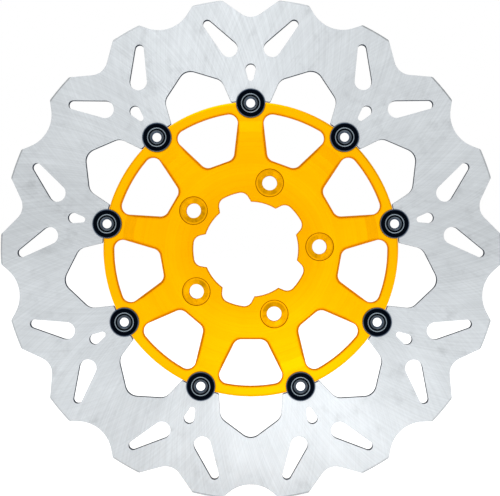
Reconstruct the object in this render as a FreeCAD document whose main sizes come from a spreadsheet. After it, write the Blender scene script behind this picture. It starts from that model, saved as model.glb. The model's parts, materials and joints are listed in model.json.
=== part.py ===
import FreeCAD
import Part
import Sketcher
import math
import os
import re

# Floating brake disc rotor for a motorcycle front wheel.
# A steel friction ring with a lobed edge hangs on a spoked aluminium carrier through nine hollow
# bobbins.  Each bobbin is kept in by a flat washer, a wave washer and a circlip behind the ring.
#
# Frame: the wheel axis lies along Y, the outboard face looks towards -Y, and +Z is up.
# The origin is where the wheel axis meets the carrier's mounting face.
# "Forward" below means towards -Y, and every sketch on XZ_Plane has its normal pointing forward.
# Lengths are in millimetres and angles in degrees.

SIZES = {
    "Pattern": {
        "bobbin_count": 9,
        "bolt_count": 5,
        # angle of the first bolt, measured from the bobbin above the axis
        "bolt_turn": -16,
        "bobbin_circle_radius": 87.35,
        "bobbin_hole_radius": 6.05,
        # how far a cutting profile runs past the metal
        "cut_overrun": 0.5,
    },
    "Friction ring": {
        "disc_thickness": 5.0,
        "disc_back_forward": 1.7,
        "disc_outer_radius": 150.0,
        "disc_inner_radius": 88.95,
        "disc_rim_chamfer_width": 0.9,
        "disc_rim_chamfer_depth": 0.4,
        "disc_tip_rounding": 2.0,
        "disc_tab_rounding": 1.0,
        "deep_valley_floor": 139.15,
        "deep_valley_rounding": 10.0,
        "deep_valley_slope": 35.0,
        "wide_valley_floor": 141.0,
        "wide_valley_rounding": 20.4,
        "wide_valley_slope": 38.8,
        "valley_top": 158.0,
        "slot_outer_offset": 26.0,
        "slot_outer_height": 134.8,
        "slot_outer_radius": 2.67,
        "slot_inner_offset": 12.95,
        "slot_inner_height": 120.27,
        "slot_inner_radius": 5.21,
        "drop_outer_height": 108.1,
        "drop_outer_radius": 3.12,
        "drop_inner_height": 102.54,
        "drop_inner_radius": 1.74,
        "opening_ridge_height": 115.0,
        "opening_ridge_rounding": 7.5,
        "opening_eave_offset": 18.2,
        "opening_eave_height": 101.45,
        "opening_eave_rounding": 7.0,
        "opening_base_offset": 19.35,
        "opening_base_height": 84.0,
    },
    "Carrier": {
        "hub_thickness": 8.0,
        "hub_pad_radius": 51.0,
        "hub_front_radius": 70.3,
        "hub_cone_radius": 76.9,
        "rim_radius": 88.35,
        "rim_thickness": 5.0,
        "rim_front_chamfer_width": 1.1,
        "rim_front_chamfer_depth": 0.45,
        "rim_back_chamfer": 0.4,
        "bore_radius": 28.575,
        "bore_edge_chamfer": 0.5,
        "bore_lobe_radius": 34.67,
        "bore_lobe_offset": 8.62,
        "bore_lobe_rounding": 5.1,
        "bore_lobe_base_offset": 11.25,
        "bore_lobe_base_height": 20.0,
        "bolt_circle_diameter": 82.55,
        "bolt_hole_radius": 4.45,
        "spot_face_radius": 8.15,
        "spot_face_depth": 0.8,
        "spot_face_chamfer": 0.4,
        "window_outer_radius": 82.2,
        "window_outer_offset": 21.41,
        "window_outer_rounding": 5.3,
        "window_root_offset": 8.79,
        "window_root_height": 54.1,
        "window_root_rounding": 5.2,
        "window_bevel_depth": 2.1,
        "window_bevel_angle": 30.0,
        "window_back_chamfer": 0.4,
    },
    "Bobbin": {
        "float_gap": 0.2,
        "flange_radius": 8.7,
        "flange_thickness": 1.9,
        "flange_edge_rounding": 0.9,
        "bead_radius": 5.47,
        "bead_half_width": 0.32,
        "bead_rise": 0.25,
        "bead_rounding": 0.28,
        "ring_groove_depth": 0.55,
        "ring_groove_inner_radius": 4.15,
        "mouth_bevel_radius": 3.3,
        "mouth_bevel_depth": 0.4,
        "mouth_depth": 1.1,
        "bobbin_bore_radius": 2.7,
        "throat_length": 0.6,
        "back_bore_radius": 4.0,
        "back_bore_cone": 0.8,
        "shank_radius": 6.0,
        "clip_groove_radius": 5.2,
        "tail_length": 0.9,
        "tail_chamfer": 0.35,
    },
    "Washers and clip": {
        "stack_gap": 0.05,
        "washer_inner_radius": 6.1,
        "washer_outer_radius": 8.4,
        "flat_washer_thickness": 0.8,
        "wave_washer_thickness": 0.3,
        "wave_washer_height": 0.8,
        "wave_washer_inner_radius": 6.15,
        "wave_washer_outer_radius": 8.0,
        "wave_count": 3,
        "clip_thickness": 1.0,
        "clip_inner_radius": 5.25,
        "clip_outer_radius": 7.4,
        "clip_offset": 0.45,
        "clip_gap_half_width": 1.1,
        "clip_lug_offset": 2.1,
        "clip_lug_height": 6.5,
        "clip_lug_radius": 1.35,
        "clip_lug_hole_radius": 0.5,
        # how much further round each clip's gap stands than the one before
        "clip_turn_step": 97.0,
    },
}

WAVE_POINTS_PER_CREST = 8
# how near an edge has to be to a stated radius or plane to count as lying on it
ON_RADIUS = 0.1
ON_PLANE = 0.001
# where along two edges a rounded corner is picked
NEAR_END = 0.9
NEAR_START = 0.1

doc = FreeCAD.newDocument("brake_disc_rotor")


# --- sheet -------------------------------------------------------------------------------------


def write_sheet():
    """Put every driving size in the spreadsheet under its alias."""
    sheet = doc.addObject("Spreadsheet::Sheet", "Sizes")
    row = 1
    for group, sizes in SIZES.items():
        sheet.set(f"A{row}", group)
        row += 1
        for alias, number in sizes.items():
            sheet.set(f"A{row}", alias.replace("_", " "))
            sheet.set(f"B{row}", str(number))
            sheet.setAlias(f"B{row}", alias)
            row += 1
    doc.recompute()
    return sheet


sheet = write_sheet()
ALIASES = {alias for sizes in SIZES.values() for alias in sizes}


def named(expression):
    """The expression with each alias written as a reference to the sheet."""
    return re.sub(
        "[a-z][a-z_]+",
        lambda word: "Sizes." + word[0] if word[0] in ALIASES else word[0],
        expression,
    )


def value(expression):
    """The expression's present value as a plain number."""
    return float(sheet.evalExpression(expression))


def bind(target, path, expression):
    """Tie one property of an object to the sheet."""
    target.setExpression(path, named(expression))


# --- bodies and sketches -----------------------------------------------------------------------


def new_body(label, x="0", y="0", z="0", turn="0"):
    """A body with its own label, placed at a point of the rotor and turned about its Y axis."""
    body = doc.addObject("PartDesign::Body", label)
    body.Label = label
    body.Placement = FreeCAD.Placement(
        FreeCAD.Vector(value(x), value(y), value(z)),
        FreeCAD.Rotation(FreeCAD.Vector(0, 1, 0), value(turn)),
    )
    for axis, place in zip("xyz", (x, y, z)):
        bind(body, "Placement.Base." + axis, place)
    return body


def origin_feature(body, role):
    """One of the body's own origin planes or axes."""
    return next(f for f in body.Origin.OriginFeatures if f.Role == role)


def new_sketch(body, name, plane="XZ_Plane", forward="0", turn="0"):
    """A sketch on an origin plane, moved along its normal and turned about it."""
    sketch = body.newObject("Sketcher::SketchObject", name)
    sketch.AttachmentSupport = (origin_feature(body, plane), [""])
    sketch.MapMode = "FlatFace"
    sketch.AttachmentOffset = FreeCAD.Placement(
        FreeCAD.Vector(0, 0, value(forward)),
        FreeCAD.Rotation(FreeCAD.Vector(0, 0, 1), value(turn)),
    )
    bind(sketch, "AttachmentOffset.Base.z", forward)
    bind(sketch, "AttachmentOffset.Rotation.Angle", turn)
    return sketch


def tie(sketch, expression, kind, *where):
    """Add a size constraint whose number comes from the sheet."""
    size = math.radians(value(expression)) if kind == "Angle" else value(expression)
    index = sketch.addConstraint(Sketcher.Constraint(kind, *where, size))
    name = f"size_{index}"
    sketch.renameConstraint(index, name)
    bind(sketch, "Constraints." + name, expression)


def draw_circle(sketch, radius, x="0", z="0"):
    """A circle whose centre and radius come from the sheet."""
    centre = FreeCAD.Vector(value(x), value(z), 0)
    circle = sketch.addGeometry(Part.Circle(centre, FreeCAD.Vector(0, 0, 1), value(radius)))
    tie(sketch, x, "DistanceX", circle, 3)
    tie(sketch, z, "DistanceY", circle, 3)
    tie(sketch, radius, "Radius", circle)


def arc_about_origin(start, end):
    """The arc centred on the origin that runs anticlockwise from start to end."""
    circle = Part.Circle(FreeCAD.Vector(), FreeCAD.Vector(0, 0, 1), start.Length)
    first = math.atan2(start.y, start.x)
    last = math.atan2(end.y, end.x)
    return Part.ArcOfCircle(circle, first, last)


def beside(edge, share):
    """A point on an edge, at this share of the way along it."""
    return edge.value(edge.FirstParameter + share * (edge.LastParameter - edge.FirstParameter))


def draw_outline(sketch, corners, arc_edge=None, arc_radius=None):
    """A closed outline through corners (x, z, rounding), listed anticlockwise.

    Every edge is straight but arc_edge, which runs from the corner of that index to the next
    around the origin.  The two corners on it give z as None: the arc's radius sets their height.
    """
    places = []
    for x, z, _ in corners:
        across = value(x)
        up = value(z) if z else math.sqrt(value(arc_radius) ** 2 - across**2)
        places.append(FreeCAD.Vector(across, up, 0))
    count = len(corners)
    first = sketch.GeometryCount
    edges = [first + index for index in range(count)]
    arc_at = None if arc_edge is None else first + arc_edge
    for edge, start, end in zip(edges, places, places[1:] + places[:1]):
        if edge == arc_at:
            sketch.addGeometry(arc_about_origin(start, end))
        else:
            sketch.addGeometry(Part.LineSegment(start, end))
    for edge, following in zip(edges, edges[1:] + edges[:1]):
        sketch.addConstraint(Sketcher.Constraint("Coincident", edge, 2, following, 1))
    if arc_at is not None:
        sketch.addConstraint(Sketcher.Constraint("Coincident", arc_at, 3, -1, 1))
        tie(sketch, arc_radius, "Radius", arc_at)
    for before, edge, place, (x, z, rounding) in zip(
        edges[-1:] + edges[:-1], edges, places, corners
    ):
        corner = edge
        if rounding:
            near_end = beside(sketch.Geometry[before], NEAR_END)
            near_start = beside(sketch.Geometry[edge], NEAR_START)
            sketch.fillet(before, edge, near_end, near_start, value(rounding), True, False)
            tie(sketch, rounding, "Radius", sketch.GeometryCount - 1)
            corner = sketch.addGeometry(Part.Point(place), True)
            sketch.addConstraint(Sketcher.Constraint("PointOnObject", corner, 1, before))
            sketch.addConstraint(Sketcher.Constraint("PointOnObject", corner, 1, edge))
        tie(sketch, x, "DistanceX", corner, 1)
        if z:
            tie(sketch, z, "DistanceY", corner, 1)


def draw_tapered_slot(sketch, ends):
    """Two round ends (x, z, radius) of different sizes, joined by the lines tangent to both."""
    centres = [FreeCAD.Vector(value(x), value(z), 0) for x, z, _ in ends]
    radii = [value(radius) for _, _, radius in ends]
    along = centres[1] - centres[0]
    heading = math.atan2(along.y, along.x)
    lean = math.acos((radii[0] - radii[1]) / along.Length)
    spans = ((heading + lean, heading - lean + 2 * math.pi), (heading - lean, heading + lean))
    arcs = [
        Part.ArcOfCircle(Part.Circle(centre, FreeCAD.Vector(0, 0, 1), radius), *span)
        for centre, radius, span in zip(centres, radii, spans)
    ]
    near, far = arcs
    first = sketch.GeometryCount
    for edge in (
        near,
        Part.LineSegment(near.EndPoint, far.StartPoint),
        far,
        Part.LineSegment(far.EndPoint, near.StartPoint),
    ):
        sketch.addGeometry(edge)
    for step in range(4):
        edge = first + step
        following = first + (step + 1) % 4
        sketch.addConstraint(Sketcher.Constraint("Tangent", edge, 2, following, 1))
    for arc, (x, z, radius) in zip((first, first + 2), ends):
        tie(sketch, x, "DistanceX", arc, 3)
        tie(sketch, z, "DistanceY", arc, 3)
        tie(sketch, radius, "Radius", arc)


# --- features ----------------------------------------------------------------------------------


def check(feature, larger, before):
    """Stop if a feature failed or changed the volume the wrong way."""
    doc.recompute()
    if "Invalid" in feature.State or not feature.Shape.isValid():
        raise RuntimeError(feature.Name + " failed")
    change = feature.Shape.Volume - before
    if (change > 0) != larger:
        raise RuntimeError(f"{feature.Name} changed the volume by {change:.1f}")


def volume_of(body):
    """The body's present volume, 0 before its first feature."""
    return 0 if body.Shape.isNull() else body.Shape.Volume


def pad(body, sketch, length):
    """Pad a sketch forward."""
    before = volume_of(body)
    feature = body.newObject("PartDesign::Pad", sketch.Name + "_pad")
    feature.Profile = sketch
    bind(feature, "Length", length)
    check(feature, True, before)
    return feature


def pocket(body, sketch, depth=None, forward=False, taper="0"):
    """Cut a sketch backward or forward, to a depth or, with none, right through both ways."""
    before = volume_of(body)
    feature = body.newObject("PartDesign::Pocket", sketch.Name + "_cut")
    feature.Profile = sketch
    feature.Reversed = forward
    if depth is None:
        feature.Type = "ThroughAll"
        feature.SideType = "Symmetric"
    else:
        bind(feature, "Length", depth)
        bind(feature, "TaperAngle", taper)
    check(feature, False, before)
    return feature


def turned(body, sketch, kind="Revolution"):
    """Turn a half profile about the Y axis, adding (Revolution) or removing (Groove) metal."""
    before = volume_of(body)
    feature = body.newObject("PartDesign::" + kind, sketch.Name + "_turned")
    feature.Profile = sketch
    feature.ReferenceAxis = (sketch, ["V_Axis"])
    feature.Angle = 360
    check(feature, kind == "Revolution", before)
    return feature


def repeat_round(body, features, count):
    """Repeat cuts evenly around the Y axis."""
    before = volume_of(body)
    pattern = body.newObject("PartDesign::PolarPattern", features[0].Name + "_pattern")
    pattern.Originals = features
    pattern.Axis = (origin_feature(body, "Y_Axis"), [""])
    pattern.Angle = 360
    pattern.Occurrences = round(value(count))
    bind(pattern, "Occurrences", count)
    body.Tip = pattern
    check(pattern, False, before)
    return pattern


def dress(body, kind, name, size, wanted):
    """Fillet or chamfer the edges that wanted(edge) picks."""
    base = body.Tip
    before = volume_of(body)
    picked = [f"Edge{n}" for n, edge in enumerate(base.Shape.Edges, 1) if wanted(edge)]
    feature = body.newObject("PartDesign::" + kind, name)
    feature.Base = (base, picked)
    bind(feature, "Radius" if kind == "Fillet" else "Size", size)
    body.Tip = feature
    doc.recompute()
    if "Invalid" in feature.State or not feature.Shape.isValid():
        raise RuntimeError(f"{name} failed on {len(picked)} edges")
    if abs(feature.Shape.Volume - before) < 1e-6:
        raise RuntimeError(f"{name} changed nothing")
    return feature


def runs_forward(edge):
    """True for a straight edge along Y."""
    low, high = edge.BoundBox.YMin, edge.BoundBox.YMax
    return len(edge.Vertexes) == 2 and edge.Length - (high - low) < ON_PLANE


def lies_at(edge, forward):
    """True for an edge in the plane this far forward of its body's XZ plane."""
    box = edge.BoundBox
    return abs(box.YMin + forward) < ON_PLANE and abs(box.YMax + forward) < ON_PLANE


def reach(edge):
    """The distance of an edge's middle from the Y axis."""
    middle = edge.valueAt((edge.FirstParameter + edge.LastParameter) / 2)
    return math.hypot(middle.x, middle.z)


# --- friction ring -----------------------------------------------------------------------------


def draw_valley(sketch, floor, rounding, slope):
    """A valley in the ring's edge: a round floor whose tangent sides open outward."""
    radius = value(rounding)
    lean = math.radians(value(slope))
    centre = FreeCAD.Vector(0, value(floor) + radius, 0)
    top = value("valley_top")
    foot = FreeCAD.Vector(radius * math.sin(lean), centre.y - radius * math.cos(lean), 0)
    crest = FreeCAD.Vector(foot.x + (top - foot.y) / math.tan(lean), top, 0)
    left_foot = FreeCAD.Vector(-foot.x, foot.y, 0)
    left_crest = FreeCAD.Vector(-crest.x, crest.y, 0)
    circle = Part.Circle(centre, FreeCAD.Vector(0, 0, 1), radius)
    arc, right, lid, left = [
        sketch.addGeometry(edge)
        for edge in (
            Part.ArcOfCircle(circle, -math.pi / 2 - lean, -math.pi / 2 + lean),
            Part.LineSegment(foot, crest),
            Part.LineSegment(crest, left_crest),
            Part.LineSegment(left_crest, left_foot),
        )
    ]
    for constraint in (
        Sketcher.Constraint("Tangent", arc, 2, right, 1),
        Sketcher.Constraint("Coincident", right, 2, lid, 1),
        Sketcher.Constraint("Coincident", lid, 2, left, 1),
        Sketcher.Constraint("Tangent", left, 2, arc, 1),
        Sketcher.Constraint("Symmetric", right, 2, left, 1, -2),
        Sketcher.Constraint("PointOnObject", arc, 3, -2),
    ):
        sketch.addConstraint(constraint)
    tie(sketch, rounding, "Radius", arc)
    tie(sketch, f"{floor} + {rounding}", "DistanceY", arc, 3)
    tie(sketch, slope, "Angle", right)
    tie(sketch, "valley_top", "DistanceY", lid, 1)


def make_disc():
    """The friction ring: lobed edge, tapered slots, and nine tabs that reach in to the bobbins."""
    body = new_body("brake_disc", y="-disc_back_forward")
    half_step = "180 / bobbin_count"

    ring = new_sketch(body, "ring")
    draw_circle(ring, "disc_outer_radius")
    draw_circle(ring, "disc_inner_radius")
    pad(body, ring, "disc_thickness")

    deep_valley = new_sketch(body, "deep_valley")
    draw_valley(deep_valley, "deep_valley_floor", "deep_valley_rounding", "deep_valley_slope")
    wide_valley = new_sketch(body, "wide_valley", turn=half_step)
    draw_valley(wide_valley, "wide_valley_floor", "wide_valley_rounding", "wide_valley_slope")
    for sketch in (deep_valley, wide_valley):
        repeat_round(body, [pocket(body, sketch)], "bobbin_count")
    tip_reach = value("disc_outer_radius") - ON_RADIUS
    dress(
        body,
        "Fillet",
        "tip_rounding",
        "disc_tip_rounding",
        lambda edge: runs_forward(edge) and reach(edge) > tip_reach,
    )

    opening = new_sketch(body, "opening", turn=half_step)
    draw_outline(
        opening,
        [
            ("opening_base_offset", "opening_base_height", None),
            ("opening_eave_offset", "opening_eave_height", "opening_eave_rounding"),
            ("0", "opening_ridge_height", "opening_ridge_rounding"),
            ("-opening_eave_offset", "opening_eave_height", "opening_eave_rounding"),
            ("-opening_base_offset", "opening_base_height", None),
        ],
    )
    repeat_round(body, [pocket(body, opening)], "bobbin_count")
    tab_end = value("disc_inner_radius")
    dress(
        body,
        "Fillet",
        "tab_rounding",
        "disc_tab_rounding",
        lambda edge: runs_forward(edge) and abs(reach(edge) - tab_end) < ON_RADIUS,
    )

    slots = new_sketch(body, "slots")
    for side in ("-", ""):
        draw_tapered_slot(
            slots,
            [
                (side + "slot_outer_offset", "slot_outer_height", "slot_outer_radius"),
                (side + "slot_inner_offset", "slot_inner_height", "slot_inner_radius"),
            ],
        )
    drop = new_sketch(body, "drop")
    draw_tapered_slot(
        drop,
        [
            ("0", "drop_outer_height", "drop_outer_radius"),
            ("0", "drop_inner_height", "drop_inner_radius"),
        ],
    )
    bobbin_notch = new_sketch(body, "bobbin_notch")
    draw_circle(bobbin_notch, "bobbin_hole_radius", z="bobbin_circle_radius")
    for sketch in (slots, drop, bobbin_notch):
        repeat_round(body, [pocket(body, sketch)], "bobbin_count")

    rim_chamfer = new_sketch(body, "rim_chamfer", plane="XY_Plane")
    for face, inward in (("0", "-"), ("-disc_thickness", "+")):
        draw_outline(
            rim_chamfer,
            [
                ("disc_outer_radius - disc_rim_chamfer_width", face, None),
                ("disc_outer_radius + cut_overrun", face, None),
                (
                    "disc_outer_radius + cut_overrun",
                    f"{face} {inward} disc_rim_chamfer_depth"
                    f" * (1 + cut_overrun / disc_rim_chamfer_width)",
                    None,
                ),
            ],
        )
    turned(body, rim_chamfer, "Groove")
    return body


# --- carrier -----------------------------------------------------------------------------------

RIM_FRONT = "disc_back_forward + rim_thickness"


def make_carrier():
    """The carrier: a hub with a lobed bore and a bolt circle, nine spokes and a rim."""
    body = new_body("carrier")

    profile = new_sketch(body, "profile", plane="XY_Plane")
    draw_outline(
        profile,
        [
            ("bore_radius", "0", None),
            ("bore_radius", "-hub_thickness", None),
            ("hub_front_radius", "-hub_thickness", None),
            ("hub_cone_radius", f"-({RIM_FRONT})", None),
            ("rim_radius - rim_front_chamfer_width", f"-({RIM_FRONT})", None),
            ("rim_radius", f"rim_front_chamfer_depth - ({RIM_FRONT})", None),
            ("rim_radius", "-disc_back_forward - rim_back_chamfer", None),
            ("rim_radius - rim_back_chamfer", "-disc_back_forward", None),
            ("hub_pad_radius + disc_back_forward", "-disc_back_forward", None),
            ("hub_pad_radius", "0", None),
        ],
    )
    turned(body, profile)

    half_step = "180 / bobbin_count"
    window_corners = [
        ("window_outer_offset", None, "window_outer_rounding"),
        ("-window_outer_offset", None, "window_outer_rounding"),
        ("-window_root_offset", "window_root_height", "window_root_rounding"),
        ("window_root_offset", "window_root_height", "window_root_rounding"),
    ]
    window = new_sketch(body, "window", turn=half_step)
    draw_outline(window, window_corners, 0, "window_outer_radius")
    bevel = new_sketch(
        body, "window_bevel", forward="hub_thickness - window_bevel_depth", turn=half_step
    )
    draw_outline(bevel, window_corners, 0, "window_outer_radius")
    window_cuts = [
        pocket(body, window),
        pocket(
            body,
            bevel,
            depth="window_bevel_depth + cut_overrun",
            forward=True,
            taper="window_bevel_angle",
        ),
    ]
    repeat_round(body, window_cuts, "bobbin_count")
    rim_back = value("disc_back_forward")
    pad_foot = value("hub_pad_radius + disc_back_forward") + ON_RADIUS
    rim_edge = value("rim_radius - rim_back_chamfer") - ON_RADIUS
    dress(
        body,
        "Chamfer",
        "window_back_edges",
        "window_back_chamfer",
        lambda edge: lies_at(edge, rim_back) and pad_foot < reach(edge) < rim_edge,
    )

    bolt_step = "180 / bolt_count"
    lobe = new_sketch(body, "bore_lobe", turn="bolt_turn + " + bolt_step)
    draw_outline(
        lobe,
        [
            ("bore_lobe_offset", None, "bore_lobe_rounding"),
            ("-bore_lobe_offset", None, "bore_lobe_rounding"),
            ("-bore_lobe_base_offset", "bore_lobe_base_height", None),
            ("bore_lobe_base_offset", "bore_lobe_base_height", None),
        ],
        0,
        "bore_lobe_radius",
    )
    bolt_hole = new_sketch(body, "bolt_hole", turn="bolt_turn")
    draw_circle(bolt_hole, "bolt_hole_radius", z="bolt_circle_diameter / 2")
    for sketch in (lobe, bolt_hole):
        repeat_round(body, [pocket(body, sketch)], "bolt_count")
    spot_face = new_sketch(body, "spot_face", forward="hub_thickness", turn="bolt_turn")
    draw_circle(spot_face, "spot_face_radius", z="bolt_circle_diameter / 2")
    repeat_round(body, [pocket(body, spot_face, depth="spot_face_depth")], "bolt_count")

    hub_front = value("hub_thickness")
    spot_radius = value("spot_face_radius")
    dress(
        body,
        "Chamfer",
        "spot_face_edges",
        "spot_face_chamfer",
        lambda edge: lies_at(edge, hub_front)
        and isinstance(edge.Curve, Part.Circle)
        and abs(edge.Curve.Radius - spot_radius) < ON_PLANE,
    )
    bore_reach = value("bore_lobe_radius") + ON_RADIUS
    dress(
        body,
        "Chamfer",
        "bore_edges",
        "bore_edge_chamfer",
        lambda edge: (lies_at(edge, hub_front) or lies_at(edge, 0)) and reach(edge) < bore_reach,
    )

    bobbin_hole = new_sketch(body, "bobbin_hole")
    draw_circle(bobbin_hole, "bobbin_hole_radius", z="bobbin_circle_radius")
    repeat_round(body, [pocket(body, bobbin_hole)], "bobbin_count")
    return body


# --- bobbins and what keeps them in ------------------------------------------------------------
# Each of these is drawn about its own bobbin's axis, from the rim's front face, with +Y backward.

FLANGE_FRONT = "-(float_gap + flange_thickness)"
WASHER_FRONT = "rim_thickness + float_gap"
WAVE_FRONT = WASHER_FRONT + " + flat_washer_thickness + stack_gap"
CLIP_FRONT = WAVE_FRONT + " + wave_washer_height + stack_gap"
CLIP_BACK = CLIP_FRONT + " + clip_thickness"
TAIL_END = CLIP_BACK + " + stack_gap + tail_length"


def stack_place(index):
    """The x, y and z of the rim's front face at one bobbin, counted clockwise from the top."""
    turn = f"{index} * 360 / bobbin_count"
    return (
        f"bobbin_circle_radius * sin({turn})",
        f"-({RIM_FRONT})",
        f"bobbin_circle_radius * cos({turn})",
    )


def make_bobbin(index):
    """A flanged bobbin, bored wide from behind, with a beaded mouth and a clip groove."""
    body = new_body(f"bobbin_{index + 1}", *stack_place(index))
    profile = new_sketch(body, f"bobbin_profile_{index + 1}", plane="XY_Plane")
    bead_top = FLANGE_FRONT + " - bead_rise"
    groove_floor = FLANGE_FRONT + " + ring_groove_depth"
    throat_end = FLANGE_FRONT + " + mouth_depth + throat_length"
    draw_outline(
        profile,
        [
            ("back_bore_radius", TAIL_END, None),
            ("back_bore_radius", throat_end + " + back_bore_cone", None),
            ("bobbin_bore_radius", throat_end, None),
            ("bobbin_bore_radius", FLANGE_FRONT + " + mouth_depth", None),
            ("mouth_bevel_radius", FLANGE_FRONT + " + mouth_bevel_depth", None),
            ("ring_groove_inner_radius", FLANGE_FRONT, None),
            ("ring_groove_inner_radius", groove_floor, None),
            ("bead_radius - bead_half_width", groove_floor, None),
            ("bead_radius - bead_half_width", bead_top, "bead_rounding"),
            ("bead_radius + bead_half_width", bead_top, "bead_rounding"),
            ("bead_radius + bead_half_width", FLANGE_FRONT, None),
            ("flange_radius", FLANGE_FRONT, "flange_edge_rounding"),
            ("flange_radius", "-float_gap", None),
            ("shank_radius", "-float_gap", None),
            ("shank_radius", CLIP_FRONT + " - stack_gap", None),
            ("clip_groove_radius", CLIP_FRONT + " - stack_gap", None),
            ("clip_groove_radius", CLIP_BACK + " + stack_gap", None),
            ("shank_radius", CLIP_BACK + " + stack_gap", None),
            ("shank_radius", TAIL_END + " - tail_chamfer", None),
            ("shank_radius - tail_chamfer", TAIL_END, None),
        ],
    )
    turned(body, profile)
    return body


def make_flat_washer(index):
    """The washer that bears on the backs of the ring's tab and the carrier's rim."""
    body = new_body(f"flat_washer_{index + 1}", *stack_place(index))
    back = f"-({WASHER_FRONT} + flat_washer_thickness)"
    outline = new_sketch(body, f"flat_washer_outline_{index + 1}", forward=back)
    draw_circle(outline, "washer_inner_radius")
    draw_circle(outline, "washer_outer_radius")
    pad(body, outline, "flat_washer_thickness")
    return body


def wave_curve(radius, middle, swing):
    """A closed curve round the Y axis that rises and falls once for each crest."""
    crests = round(value("wave_count"))
    steps = crests * WAVE_POINTS_PER_CREST
    points = []
    for step in range(steps):
        turn = 2 * math.pi * step / steps
        depth = middle + swing * math.cos(crests * turn)
        points.append(FreeCAD.Vector(radius * math.sin(turn), depth, radius * math.cos(turn)))
    curve = Part.BSplineCurve()
    curve.interpolate(points, PeriodicFlag=True)
    return curve.toShape()


def make_wave_washer(index):
    """The sprung washer that takes up the stack's play."""
    thickness = value("wave_washer_thickness")
    height = value("wave_washer_height")
    middle = value(WAVE_FRONT) + height / 2
    swing = (height - thickness) / 2
    inner, outer = value("wave_washer_inner_radius"), value("wave_washer_outer_radius")
    corners = [(inner, -1), (outer, -1), (outer, 1), (inner, 1)]
    rings = [
        wave_curve(radius, middle + side * thickness / 2, swing) for radius, side in corners
    ]
    faces = [
        Part.makeRuledSurface(ring, following)
        for ring, following in zip(rings, rings[1:] + rings[:1])
    ]
    shell = Part.Shell(faces)
    shell.sewShape()
    washer = doc.addObject("Part::Feature", f"wave_washer_{index + 1}")
    washer.Label = washer.Name
    washer.Shape = Part.Solid(shell)
    place = [value(coordinate) for coordinate in stack_place(index)]
    washer.Placement = FreeCAD.Placement(FreeCAD.Vector(*place), FreeCAD.Rotation())
    return washer


def make_circlip(index):
    """The external circlip in the bobbin's groove: a thinning ring with a gap between two lugs."""
    number = index + 1
    turn = f"{index} * clip_turn_step"
    body = new_body(f"circlip_{number}", *stack_place(index), turn=turn)
    back = f"-({CLIP_BACK})"
    ring = new_sketch(body, f"clip_ring_{number}", forward=back)
    draw_circle(ring, "clip_inner_radius")
    draw_circle(ring, "clip_outer_radius", z="-clip_offset")
    pad(body, ring, "clip_thickness")

    lugs = new_sketch(body, f"clip_lugs_{number}", forward=back)
    for side in ("-", ""):
        draw_circle(lugs, "clip_lug_radius", side + "clip_lug_offset", "clip_lug_height")
    pad(body, lugs, "clip_thickness")

    gap = new_sketch(body, f"clip_gap_{number}", forward=back)
    top = "clip_lug_height + 2 * clip_lug_radius"
    draw_outline(
        gap,
        [
            ("-clip_gap_half_width", "0", None),
            ("clip_gap_half_width", "0", None),
            ("clip_gap_half_width", top, None),
            ("-clip_gap_half_width", top, None),
        ],
    )
    pocket(body, gap)

    holes = new_sketch(body, f"clip_holes_{number}", forward=back)
    for side in ("-", ""):
        draw_circle(holes, "clip_lug_hole_radius", side + "clip_lug_offset", "clip_lug_height")
    pocket(body, holes)
    return body


# --- build and write ---------------------------------------------------------------------------


def main():
    """Build every sub-part, check them all, and write one STEP file for each."""
    parts = [make_disc(), make_carrier()]
    for make in (make_bobbin, make_flat_washer, make_wave_washer, make_circlip):
        parts += [make(index) for index in range(SIZES["Pattern"]["bobbin_count"])]
    doc.recompute()
    for thing in doc.Objects:
        if "Invalid" in thing.State or "Error" in thing.State:
            raise RuntimeError(f"{thing.Label} is {thing.State}")
    for part in parts:
        if part.Shape.isNull() or not part.Shape.isValid() or len(part.Shape.Solids) != 1:
            raise RuntimeError(part.Label + " is not one valid solid")
    os.makedirs("parts", exist_ok=True)
    for part in parts:
        part.Shape.exportStep(f"parts/{part.Label}.step")
        print(part.Label, round(part.Shape.Volume, 1))


main()
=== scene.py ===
import json
import math

import bpy
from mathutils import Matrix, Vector


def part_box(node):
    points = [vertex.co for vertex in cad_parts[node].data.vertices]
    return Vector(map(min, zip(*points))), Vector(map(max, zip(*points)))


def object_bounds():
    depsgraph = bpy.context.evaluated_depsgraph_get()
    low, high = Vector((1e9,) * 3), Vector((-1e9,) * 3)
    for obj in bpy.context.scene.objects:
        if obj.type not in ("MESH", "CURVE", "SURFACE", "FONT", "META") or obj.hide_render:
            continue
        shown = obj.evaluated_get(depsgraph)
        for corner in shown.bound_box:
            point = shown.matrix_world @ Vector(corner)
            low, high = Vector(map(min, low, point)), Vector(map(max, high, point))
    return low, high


# Looks for a floating motorcycle brake disc: ground steel ring, gold anodised carrier, black
# bobbins with their washers and clips, on a pale floor under soft studio light.
# Lengths are in metres.  The wheel axis is Y, the outboard face looks towards -Y, +Z is up.

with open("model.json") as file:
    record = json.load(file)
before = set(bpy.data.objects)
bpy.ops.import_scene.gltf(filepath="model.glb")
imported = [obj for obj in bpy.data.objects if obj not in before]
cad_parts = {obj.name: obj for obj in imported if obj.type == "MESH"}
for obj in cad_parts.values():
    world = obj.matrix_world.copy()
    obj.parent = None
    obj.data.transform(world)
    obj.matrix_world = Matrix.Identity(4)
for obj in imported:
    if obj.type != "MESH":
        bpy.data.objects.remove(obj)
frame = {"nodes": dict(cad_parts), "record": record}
cad_low, cad_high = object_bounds()


# --- measures ----------------------------------------------------------------------------------

RING_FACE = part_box("brake_disc")[0].y
BOBBIN_LOW, BOBBIN_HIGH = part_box("bobbin_1")
BOBBIN_COUNT = sum(name.startswith("bobbin") for name in frame["nodes"])
BOBBIN_CIRCLE = (BOBBIN_LOW.z + BOBBIN_HIGH.z) / 2
FLANGE_RADIUS = (BOBBIN_HIGH.x - BOBBIN_LOW.x) / 2
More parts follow.
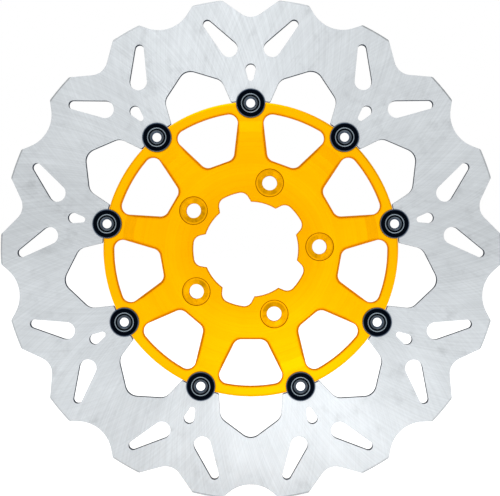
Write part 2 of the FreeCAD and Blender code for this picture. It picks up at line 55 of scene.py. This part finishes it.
# the bead and the bevelled mouth on a bobbin's front, each with a painted highlight ring, as radii
# about its own axis
BEAD = (0.00518, 0.00576)
MOUTH = (0.00335, 0.00412)

MOUNTS = {mount["name"]: mount for mount in frame["record"]["mounts"]}
BOLTS = MOUNTS["hub_bolts"]["dims"]
# the first bolt hole's turn from +Z towards +X
FIRST_BOLT = math.radians(16.0)
# the seat round a bolt hole, as radii about the hole: the floor with its painted sheen, the rest
# with painted shade by the wall, the lip with a painted dark line
SEAT_FLOOR = (0.0043, 0.0072)
SEAT_SHADE = (0.0072, 0.0081)
SEAT_LIP = (0.0081, 0.0086)

# the carrier's windows lie between these radii
WINDOWS = (0.0530, 0.0834)
# how dark the turned face is at the bore, and the radii between which that fades
BORE_TONE, BORE_FADE = 0.89, (0.0345, 0.0440)
# radii where the turned face changes tone, with the tone beyond each one
TURNED_STEPS = (
    (0.0404, 0.97),
    (0.0452, 1.05),
    (0.0512, 0.96),
    (0.0570, 1.03),
    (0.0640, 0.97),
    (0.0665, 1.03),
)
# radii where the turning tool left a darker line
TURNED_LINES = (0.0374, 0.0415, 0.0470, 0.0497, 0.0615, 0.0645)


# --- node trees --------------------------------------------------------------------------------


class Tree:
    """A node tree built from short calls; each call returns the socket it makes."""

    def __init__(self, node_tree):
        self.tree = node_tree
        self.tree.nodes.clear()

    def add(self, kind, inputs=None, output=0, **settings):
        node = self.tree.nodes.new("ShaderNode" + kind)
        for name, setting in settings.items():
            setattr(node, name, setting)
        for name, source in (inputs or {}).items():
            if isinstance(source, bpy.types.NodeSocket):
                self.tree.links.new(source, node.inputs[name])
            else:
                node.inputs[name].default_value = source
        return node.outputs[output] if node.outputs else None

    def math(self, operation, *values):
        return self.add("Math", dict(enumerate(values)), operation=operation)

    def vector(self, operation, *values, output=0):
        return self.add("VectorMath", dict(enumerate(values)), output, operation=operation)

    def parts(self, vector):
        """The x, y and z of a vector."""
        return list(self.add("SeparateXYZ", {"Vector": vector}).node.outputs)

    def joined(self, x, y, z):
        return self.add("CombineXYZ", {"X": x, "Y": y, "Z": z})

    def ramp(self, value, low, high, start=0.0, end=1.0):
        """A smooth step from start at low to end at high."""
        inputs = {"Value": value, "From Min": low, "From Max": high}
        inputs.update({"To Min": start, "To Max": end})
        return self.add("MapRange", inputs, interpolation_type="SMOOTHSTEP")

    def band(self, value, low, high, soft):
        """1 between low and high, falling to 0 over a soft edge."""
        rise = self.ramp(value, low - soft, low + soft)
        return self.math("MULTIPLY", rise, self.ramp(value, high - soft, high + soft, 1.0, 0.0))

    def noise(self, vector, scale, detail=2.0, roughness=0.5):
        inputs = {"Vector": vector, "Scale": scale, "Detail": detail, "Roughness": roughness}
        return self.add("TexNoise", inputs)

    def swing(self, value, spread):
        """A 0 to 1 value moved to swing evenly about 1."""
        return self.math("MULTIPLY_ADD", value, spread, 1.0 - spread / 2)

    def product(self, *values):
        """All the values multiplied together."""
        total = values[0]
        for value in values[1:]:
            total = self.math("MULTIPLY", total, value)
        return total

    def mix(self, factor, first, second):
        """A mix of two colours."""
        return self.add("Mix", {0: factor, 6: first, 7: second}, 2, data_type="RGBA")

    def blend(self, factor, first, second):
        """A mix of two numbers."""
        return self.add("Mix", {0: factor, 2: first, 3: second}, 0)

    def scaled(self, colour, amount):
        """A colour made lighter or darker by a number."""
        return self.add("VectorMath", {0: colour, "Scale": amount}, operation="SCALE")

    def less(self, mask, amount):
        """A tone that is 1, less an amount where the mask is 1."""
        return self.math("MULTIPLY_ADD", mask, -amount, 1.0)


def rgb(red, green, blue):
    return (red, green, blue, 1.0)


class Surface(Tree):
    """A metal's node tree with the measures that every finish here needs."""

    def __init__(self, name, about_own_axis=False):
        self.material = bpy.data.materials.new(name)
        self.material.use_nodes = True
        super().__init__(self.material.node_tree)
        self.place = self.add("TexCoord", output=3)
        about_axis = self.place
        if about_own_axis:
            centre = self.add("Attribute", None, 1, attribute_type="OBJECT", attribute_name="centre")
            about_axis = self.vector("SUBTRACT", self.place, centre)
        self.across, self.depth, self.up = self.parts(about_axis)
        flat = self.joined(self.across, 0.0, self.up)
        self.radius = self.vector("LENGTH", flat, output=1)
        self.outward = self.add(
            "VectorTransform",
            {"Vector": self.vector("NORMALIZE", flat)},
            vector_type="VECTOR",
            convert_from="OBJECT",
            convert_to="WORLD",
        )
        self.angle = self.math("ARCTAN2", self.across, self.up)
        self.normal = self.add("NewGeometry", output=1)
        self.level = self.math("ABSOLUTE", self.parts(self.normal)[1])

    def round_axis(self, angle, size):
        """Two coordinates that follow an angle without a seam."""
        return [
            self.math("MULTIPLY", self.math(turn, angle), size) for turn in ("COSINE", "SINE")
        ]

    def swirl(self, twist, fineness, stretch, detail=3.0):
        """Streaks that run outward from the axis with a steady twist."""
        lead = self.math("MULTIPLY_ADD", self.radius, twist, self.angle)
        along = self.math("MULTIPLY", self.radius, stretch)
        return self.noise(self.joined(*self.round_axis(lead, fineness), along), 1.0, detail, 0.6)

    def rings(self, fineness, wander=6.0, detail=3.0):
        """Turning marks round the axis."""
        outward = self.math("MULTIPLY", self.radius, fineness)
        return self.noise(
            self.joined(outward, *self.round_axis(self.angle, wander)), 1.0, detail, 0.65
        )

    def cut_lines(self, fineness, stretch):
        """Lines that run through the thickness on a cut edge."""
        sizes = (fineness, stretch, fineness)
        return self.noise(self.vector("MULTIPLY", self.place, sizes), 1.0, 2.0, 0.5)

    def from_nearest(self, count, circle, first=0.0):
        """The way from the nearest of several centres set evenly round a circle."""
        half_step = math.pi / count
        turned = self.math("SUBTRACT", self.angle, first)
        folded = self.math("WRAP", turned, half_step, -half_step)
        outward = self.math("MULTIPLY", self.radius, self.math("COSINE", folded))
        sideways = self.math("MULTIPLY", self.radius, self.math("SINE", folded))
        return self.joined(self.math("SUBTRACT", outward, circle), sideways, 0.0)

    def outboard(self):
        """1 on the outboard faces of the ring, rim and hub, and 0 behind them."""
        return self.ramp(self.depth, RING_FACE + 0.0007, RING_FACE + 0.0001)

    def eased(self, size):
        """Normals eased over sharp edges, and a mask that is 1 on the edges themselves."""
        soft = self.add("Bevel", {"Radius": size}, samples=6)
        likeness = self.vector("DOT_PRODUCT", soft, self.normal, output=1)
        return soft, self.ramp(likeness, 0.995, 0.88)

    def rubbed(self, colour, worn, amount, bare):
        """A colour partly rubbed through to bare metal on the edges."""
        return self.mix(self.math("MULTIPLY", worn, amount), colour, bare)

    def bump(self, height, distance, normal):
        inputs = {"Height": height, "Distance": distance, "Normal": normal}
        return self.add("Bump", inputs)

    def finish(self, **inputs):
        """Connect the surface.  The names are Principled inputs with _ for a space."""
        shader = self.add(
            "BsdfPrincipled", {name.replace("_", " "): source for name, source in inputs.items()}
        )
        self.add("OutputMaterial", {"Surface": shader})
        return self.material


# --- finishes ----------------------------------------------------------------------------------


def flange_painted_shadow(s):
    """A tone for the painted contact shadow: a dark line where each bobbin's flange meets the
    outboard face.
    """
    distance = s.vector("LENGTH", s.from_nearest(BOBBIN_COUNT, BOBBIN_CIRCLE), output=1)
    line = s.ramp(distance, FLANGE_RADIUS + 0.0001, FLANGE_RADIUS + 0.0006, 0.5, 0.0)
    return s.less(s.math("MULTIPLY", line, s.outboard()), 1.0)


def ground_steel():
    """Ground faces with crossing streaks, cloudy patches and darker cut edges."""
    s = Surface("ground_steel")
    face = s.ramp(s.level, 0.55, 0.9)
    leading = s.ramp(s.swirl(2.6, 150.0, 20.0, 5.0), 0.28, 0.72)
    trailing = s.ramp(s.swirl(-3.4, 110.0, 16.0, 5.0), 0.28, 0.72)
    broad = s.swirl(1.8, 34.0, 9.0, 2.0)
    cloud = s.noise(s.place, 34.0, 4.0, 0.6)
    smudge = s.ramp(s.noise(s.place, 95.0, 5.0, 0.62), 0.52, 0.78, 1.0, 0.84)
    # the streaks' tone also carries the painted contact shadow round each bobbin's flange
    streaks = s.product(
        s.swing(leading, 0.13),
        s.swing(trailing, 0.10),
        s.swing(broad, 0.10),
        s.swing(cloud, 0.24),
        smudge,
        flange_painted_shadow(s),
    )
    cut = s.cut_lines(2400.0, 160.0)
    soft, worn = s.eased(0.00022)

    ground = s.mix(cloud, rgb(0.557, 0.588, 0.612), rgb(0.585, 0.615, 0.638))
    face_colour = s.scaled(ground, streaks)
    edge_colour = s.mix(cut, rgb(0.17, 0.185, 0.205), rgb(0.32, 0.34, 0.36))
    # painted shade: the chamfers' faces, tilted from the wheel axis, are darkened in colour
    chamfer_painted_shade = s.band(s.level, 0.80, 0.975, 0.01)
    face_colour = s.scaled(face_colour, s.less(chamfer_painted_shade, 0.22))
    colour = s.mix(face, edge_colour, face_colour)
    colour = s.rubbed(colour, worn, 0.25, rgb(0.50, 0.52, 0.54))

    rough_face = s.math("MULTIPLY_ADD", s.math("ADD", leading, trailing), 0.06, 0.29)
    roughness = s.blend(face, 0.42, rough_face)
    height = s.blend(face, cut, s.math("ADD", leading, trailing))
    return s.finish(
        Base_Color=colour,
        Metallic=1.0,
        Roughness=roughness,
        Normal=s.bump(height, 0.000008, soft),
        Specular_Tint=s.mix(face, rgb(0.06, 0.08, 0.11), rgb(1.0, 1.0, 1.0)),
        Anisotropic=0.8,
        Tangent=s.outward,
    )


def seat_painted_shade(s):
    """A tone of painted shade for the seats round the bolt holes: a painted sheen sweeping over the
    floor, painted shade by the wall, a painted dark lip.
    """
    offset = s.from_nearest(BOLTS["count"], BOLTS["pcd_mm"] / 2000, FIRST_BOLT)
    distance = s.vector("LENGTH", offset, output=1)
    heading = s.vector("NORMALIZE", offset)
    away = s.parts(heading)[0]
    facing = s.vector("ADD", heading, s.scaled(s.place, 60.0))
    # painted sheen: lighter and darker sectors over the seat's floor, as a turned face catches the
    # light
    painted_sheen_fan = s.ramp(s.noise(facing, 1.1, 4.0, 0.6), 0.38, 0.64, 0.40, 0.12)
    painted_floor_sheen = s.math("MULTIPLY_ADD", away, -0.10, painted_sheen_fan)
    # painted shade: a crescent by the wall, darker on the seat's side away from the wheel axis
    painted_crescent_shade = s.ramp(away, -0.5, 0.9, 0.08, 0.30)
    dark = s.math("MULTIPLY", s.band(distance, *SEAT_FLOOR, 0.0003), painted_floor_sheen)
    dark = s.math("MULTIPLY_ADD", s.band(distance, *SEAT_SHADE, 0.0003), painted_crescent_shade, dark)
    # painted shade: a dark line at the lip
    dark = s.math("MULTIPLY_ADD", s.band(distance, *SEAT_LIP, 0.0001), 0.5, dark)
    return s.less(s.math("MULTIPLY", dark, s.outboard()), 1.0)


def turned_tone(s):
    """A tone for the carrier's turned face, with its steps and darker lines."""
    tone = s.ramp(s.radius, *BORE_FADE, BORE_TONE, 1.0)
    for radius, beyond in TURNED_STEPS:
        step = s.ramp(s.radius, radius - 0.0002, radius + 0.0002, 1.0, beyond)
        tone = s.math("MULTIPLY", tone, step)
    for radius in TURNED_LINES:
        line = s.band(s.radius, radius - 0.00012, radius + 0.00012, 0.0001)
        tone = s.math("MULTIPLY", tone, s.less(line, 0.09))
    return tone


def window_bevel_painted_shade(s):
    """A mask for the front and back faces close to a window's edge, where painted shade stands in
    for a wider bevel.
    """
    rolled = s.add("Bevel", {"Radius": 0.0020}, samples=8)
    close = s.ramp(s.vector("DOT_PRODUCT", rolled, s.normal, output=1), 0.990, 0.93)
    return s.math("MULTIPLY", close, s.band(s.radius, *WINDOWS, 0.0003))


def gold_anodised():
    """Turned faces under a gold anodic film, deeper orange on the milled walls."""
    s = Surface("gold_anodised")
    face = s.ramp(s.level, 0.55, 0.93)
    fine = s.rings(7000.0, 5.0, 4.0)
    medium = s.rings(1500.0, 3.0, 2.0)
    broad = s.rings(260.0, 2.0, 2.0)
    cloud = s.noise(s.place, 26.0, 4.0, 0.6)
    cut = s.cut_lines(1600.0, 200.0)
    soft, worn = s.eased(0.0002)

    # the tone also carries the painted contact shadow round each bobbin's flange
    tone = s.product(
        s.swing(medium, 0.10),
        s.swing(broad, 0.07),
        s.swing(cloud, 0.11),
        s.swing(fine, 0.07),
        turned_tone(s),
        flange_painted_shadow(s),
    )
    hue = s.mix(cloud, rgb(0.97, 0.403, 0.0002), rgb(1.0, 0.459, 0.0003))
    # painted shade: the chamfers' faces, tilted from the wheel axis, are darkened in colour
    chamfer_painted_shade = s.band(s.level, 0.5, 0.9, 0.03)
    face_colour = s.scaled(hue, s.math("MULTIPLY", tone, s.less(chamfer_painted_shade, 0.2)))
    # painted shade: a deeper orange margin beside each window, standing in for a wider bevel
    deeper = s.vector("MULTIPLY", face_colour, (0.74, 0.54, 1.0))
    face_colour = s.mix(window_bevel_painted_shade(s), face_colour, deeper)
    wall_colour = s.mix(cut, rgb(0.58, 0.185, 0.0001), rgb(0.68, 0.235, 0.0002))
    colour = s.mix(face, wall_colour, face_colour)
    colour = s.rubbed(colour, worn, 0.25, rgb(0.80, 0.38, 0.002))
    colour = s.scaled(colour, seat_painted_shade(s))

    height = s.blend(face, cut, s.math("MULTIPLY_ADD", medium, 0.5, fine))
    return s.finish(
        Base_Color=colour,
        Metallic=s.blend(face, 0.25, 1.0),
        Roughness=s.blend(face, 0.45, s.math("MULTIPLY_ADD", fine, 0.14, 0.27)),
        Normal=s.bump(height, 0.000010, soft),
        Specular_IOR_Level=0.0,
        Specular_Tint=s.mix(face, rgb(0.7, 0.2, 0.002), rgb(1.0, 0.85, 0.35)),
        Anisotropic=0.25,
        Tangent=s.outward,
    )


def black_anodised():
    """Glossy black turned aluminium, with a painted bluish highlight on the rounded rim and painted
    highlight rings on the bead and round the mouth.
    """
    s = Surface("black_anodised", about_own_axis=True)
    lines = s.rings(9000.0, 3.0, 3.0)
    broad = s.rings(1400.0, 2.0, 2.0)
    speck = s.noise(s.place, 2600.0, 2.0, 0.6)
    soft, worn = s.eased(0.00015)
    tilt_painted_sheen = s.ramp(s.level, 0.995, 0.6)
    bead = s.band(s.radius, *BEAD, 0.00006)
    mouth = s.band(s.radius, *MOUTH, 0.00012)

    # painted highlight: bluish grey on the faces that tilt from the axis, the rounded rim
    film = s.mix(tilt_painted_sheen, rgb(0.0008, 0.0018, 0.0042), rgb(0.105, 0.150, 0.225))
    # painted highlight: a grey ring on the bevelled mouth
    film = s.mix(mouth, film, rgb(0.070, 0.086, 0.104))
    film = s.scaled(film, s.product(s.swing(lines, 0.5), s.swing(broad, 0.3)))
    # painted highlight: a bright ring on the bead
    bright = s.mix(lines, rgb(0.13, 0.17, 0.20), rgb(0.28, 0.33, 0.37))
    colour = s.mix(bead, film, bright)
    colour = s.rubbed(colour, worn, 0.25, rgb(0.14, 0.17, 0.21))
    return s.finish(
        Base_Color=colour,
        Metallic=s.blend(bead, 0.6, 1.0),
        Roughness=s.math("MULTIPLY_ADD", speck, 0.12, s.blend(bead, 0.16, 0.2)),
        Normal=s.bump(lines, 0.000004, soft),
        Specular_IOR_Level=s.math("MULTIPLY_ADD", tilt_painted_sheen, 0.2, 0.02),
        Specular_Tint=s.mix(bead, rgb(0.26, 0.34, 0.44), rgb(1.0, 1.0, 1.0)),
        Anisotropic=0.3,
        Tangent=s.outward,
    )


def plated_steel():
    """Bright zinc plate with faint blue and straw patches."""
    s = Surface("plated_steel", about_own_axis=True)
    lines = s.rings(5200.0, 8.0, 3.0)
    patch = s.noise(s.place, 420.0, 3.0, 0.6)
    soft, worn = s.eased(0.00012)
    colour = s.mix(patch, rgb(0.50, 0.55, 0.62), rgb(0.66, 0.64, 0.58))
    colour = s.scaled(colour, s.swing(lines, 0.2))
    colour = s.rubbed(colour, worn, 0.5, rgb(0.8, 0.81, 0.82))
    return s.finish(
        Base_Color=colour,
        Metallic=1.0,
        Roughness=s.math("MULTIPLY_ADD", patch, 0.2, 0.2),
        Normal=s.bump(lines, 0.000008, soft),
    )


def spring_steel():
    """Tempered strip with a straw to blue tint."""
    s = Surface("spring_steel", about_own_axis=True)
    grain = s.noise(s.place, 900.0, 4.0, 0.65)
    tint = s.noise(s.place, 210.0, 2.0, 0.5)
    soft, worn = s.eased(0.0001)
    colour = s.mix(s.ramp(tint, 0.35, 0.65), rgb(0.30, 0.31, 0.36), rgb(0.42, 0.36, 0.28))
    colour = s.scaled(colour, s.swing(grain, 0.35))
    colour = s.rubbed(colour, worn, 0.5, rgb(0.6, 0.6, 0.6))
    return s.finish(
        Base_Color=colour,
        Metallic=1.0,
        Roughness=s.math("MULTIPLY_ADD", grain, 0.25, 0.2),
        Normal=s.bump(grain, 0.00001, soft),
    )


def black_spring_steel():
    """Phosphated spring steel, rubbed bright along its punched edges."""
    s = Surface("black_spring_steel", about_own_axis=True)
    grain = s.noise(s.place, 2400.0, 4.0, 0.7)
    patch = s.noise(s.place, 300.0, 3.0, 0.6)
    soft, worn = s.eased(0.00015)
    colour = s.mix(patch, rgb(0.022, 0.022, 0.024), rgb(0.055, 0.052, 0.05))
    colour = s.scaled(colour, s.swing(grain, 0.5))
    colour = s.rubbed(colour, worn, 0.5, rgb(0.24, 0.24, 0.25))
    return s.finish(
        Base_Color=colour,
        Metallic=0.7,
        Roughness=s.math("MULTIPLY_ADD", grain, 0.25, 0.32),
        Normal=s.bump(grain, 0.000015, soft),
    )


FINISHES = {
    "brake_disc": ground_steel(),
    "carrier": gold_anodised(),
    "bobbin": black_anodised(),
    "flat_washer": plated_steel(),
    "wave_washer": spring_steel(),
    "circlip": black_spring_steel(),
}


def dress(name, node):
    """Give a CAD node its finish, and a bobbin's pieces the axis that their finishes turn about."""
    kind, _, place = name.rpartition("_")
    if place.isdigit():
        low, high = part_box(f"bobbin_{place}")
        node["centre"] = list((low + high) / 2)
    else:
        kind = name
    for slot in node.material_slots:
        slot.link = "OBJECT"
        slot.material = FINISHES[kind]


for name, node in frame["nodes"].items():
    dress(name, node)


# --- floor, light and camera -------------------------------------------------------------------

FLOOR_RADIUS = 14.0
FLOOR_SEGMENTS = 96


def pale_floor():
    """A wide round floor under the lowest lobe."""
    points = [
        (
            FLOOR_RADIUS * math.cos(2 * math.pi * step / FLOOR_SEGMENTS),
            FLOOR_RADIUS * math.sin(2 * math.pi * step / FLOOR_SEGMENTS),
            cad_low.z,
        )
        for step in range(FLOOR_SEGMENTS)
    ]
    mesh = bpy.data.meshes.new("floor")
    mesh.from_pydata(points, [], [tuple(range(FLOOR_SEGMENTS))])
    floor = bpy.data.objects.new("floor", mesh)
    bpy.context.scene.collection.objects.link(floor)
    material = bpy.data.materials.new("pale_floor")
    material.use_nodes = True
    t = Tree(material.node_tree)
    place = t.add("TexCoord", output=3)
    grain = t.noise(place, 900.0, 3.0, 0.6)
    colour = t.mix(grain, rgb(0.93, 0.93, 0.93), rgb(0.97, 0.97, 0.97))
    matt = t.add("BsdfDiffuse", {"Color": colour})
    strength = t.blend(t.add("LightPath", output=0), 0.36, 0.38)
    lift = t.add("Emission", {"Color": rgb(1.0, 1.0, 1.0), "Strength": strength})
    t.add("OutputMaterial", {"Surface": t.add("AddShader", {0: matt, 1: lift})})
    mesh.materials.append(material)


def studio_world():
    """White to the camera.  The metal sees a soft room, brighter in front and low above the
    horizon, and dimmer to the sides and overhead.
    """
    world = bpy.data.worlds.new("studio")
    bpy.context.scene.world = world
    world.use_nodes = True
    t = Tree(world.node_tree)
    x, y, z = t.parts(t.add("TexCoord", output=0))
    front = t.ramp(y, 0.35, -0.75)
    side = t.math("ABSOLUTE", x)
    base = t.blend(front, 0.66, 1.01)
    overhead = t.ramp(z, 0.26, 0.5, 0.0, 0.40)
    above = t.math("SUBTRACT", t.ramp(z, 0.0, 0.24, 0.0, 0.40), overhead)
    aside = t.math("MULTIPLY", front, t.ramp(side, 0.08, 0.6, 0.0, 0.46))
    level = t.math("SUBTRACT", t.math("ADD", base, above), aside)
    seen = t.add("LightPath", output=0)
    strength = t.blend(seen, level, 1.0)
    background = t.add("Background", {"Color": rgb(1.0, 1.0, 1.0), "Strength": strength})
    t.add("OutputWorld", {"Surface": background})


def soft_light(name, place, target, size, power):
    """A square area light aimed at a point."""
    data = bpy.data.lights.new(name, "AREA")
    data.shape = "SQUARE"
    data.size = size
    data.energy = power
    light = bpy.data.objects.new(name, data)
    light.location = place
    light.rotation_mode = "QUATERNION"
    light.rotation_quaternion = (Vector(target) - Vector(place)).to_track_quat("-Z", "Y")
    light.visible_camera = False
    bpy.context.scene.collection.objects.link(light)


SENSOR_MM = 36.0
# how much the picture covers from left to right at the ring's outboard face
VIEW_WIDTH = 0.29949
DISTANCE = 0.78
# where the camera stands, and where the middle of the picture falls, from the wheel axis
CAMERA_RIGHT, CAMERA_UP = 0.006, 0.002
AIM_RIGHT, AIM_UP = -0.0004, 0.0007


def front_camera():
    """A long lens, face-on to the ring."""
    face = Vector((0.0, RING_FACE, 0.0))
    data = bpy.data.cameras.new("front")
    data.sensor_width = SENSOR_MM
    data.lens = SENSOR_MM * DISTANCE / VIEW_WIDTH
    data.clip_start = 0.01
    data.clip_end = 100.0
    camera = bpy.data.objects.new("front", data)
    camera.location = face + Vector((CAMERA_RIGHT, -DISTANCE, CAMERA_UP))
    target = face + Vector((AIM_RIGHT, 0.0, AIM_UP))
    camera.rotation_mode = "QUATERNION"
    camera.rotation_quaternion = (target - camera.location).to_track_quat("-Z", "Y")
    bpy.context.scene.collection.objects.link(camera)
    bpy.context.scene.camera = camera


pale_floor()
studio_world()
soft_light("key", (-0.35, -0.9, 1.5), (0.0, 0.0, 0.0), 1.6, 8.0)
soft_light("fill", (0.9, 1.1, 1.1), (0.0, 0.0, 0.0), 1.4, 8.0)
soft_light("near_card", (0.035, -0.18, cad_low.z + 0.002), (0.035, -0.18, 1.0), 0.13, 0.055)
soft_light("far_card", (0.035, -0.35, -0.128), (0.035, 0.0, -0.11), 0.13, 0.04)
front_camera()
bpy.context.scene.view_settings.view_transform = "Standard"
